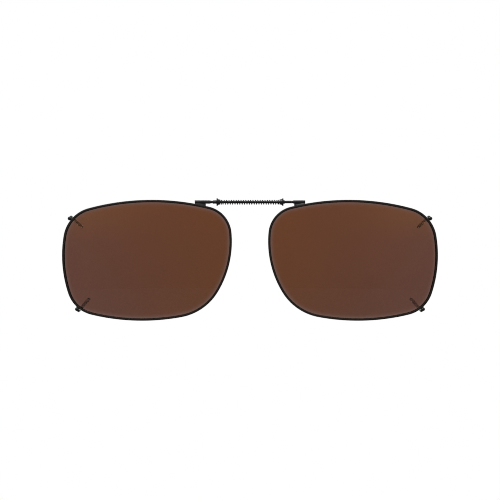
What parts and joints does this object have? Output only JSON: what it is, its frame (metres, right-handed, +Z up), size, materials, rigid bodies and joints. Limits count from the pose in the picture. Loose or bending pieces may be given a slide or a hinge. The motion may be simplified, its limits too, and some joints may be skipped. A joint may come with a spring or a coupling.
{
  "type": "clip-on sunglasses",
  "caption": "Pair of rimmed, tinted lenses on a sprung sliding bridge, with hooks that clip them in front of spectacles.",
  "frame": {"origin": "on the plane of symmetry, on the lens datum line (mid height of the rims), at mid depth", "axes": "+Z up as worn, +X from the viewer's left lens to the right one, -Y out of the front of the lenses"},
  "size_m": [0.1194, 0.0118, 0.0388],
  "materials": {
    "tinted_lens": "polished brown polarised plastic",
    "rim_metal": "glossy black plated wire",
    "bridge_metal": "dark gunmetal plating",
    "spring_wire": "blackened spring steel",
    "hook_metal": "dark gunmetal plating",
    "sleeve_vinyl": "smoky translucent vinyl"
  },
  "bodies": {
    "left_half": {"left_lens": "tinted_lens", "left_rim": "rim_metal", "left_bracket": "bridge_metal", "left_rod": "bridge_metal", "right_stop": "bridge_metal", "right_ferrule": "bridge_metal", "upper_left_prong": "hook_metal", "lower_left_prong": "hook_metal", "upper_left_sleeve": "sleeve_vinyl", "lower_left_sleeve": "sleeve_vinyl", "spring": "spring_wire"},
    "right_half": {"right_lens": "tinted_lens", "right_rim": "rim_metal", "right_bracket": "bridge_metal", "right_rod": "bridge_metal", "left_stop": "bridge_metal", "left_ferrule": "bridge_metal", "upper_right_prong": "hook_metal", "lower_right_prong": "hook_metal", "upper_right_sleeve": "sleeve_vinyl", "lower_right_sleeve": "sleeve_vinyl"}
  },
  "joints": [
    {"name": "bridge_slide", "type": "slide", "parent": "left_half", "child": "right_half", "axis": [1, 0, 0], "range_m": [0, 0.01], "stiffness_N_per_m": 400, "springref_m": -0.002, "deforming": ["spring"]}
  ]
}
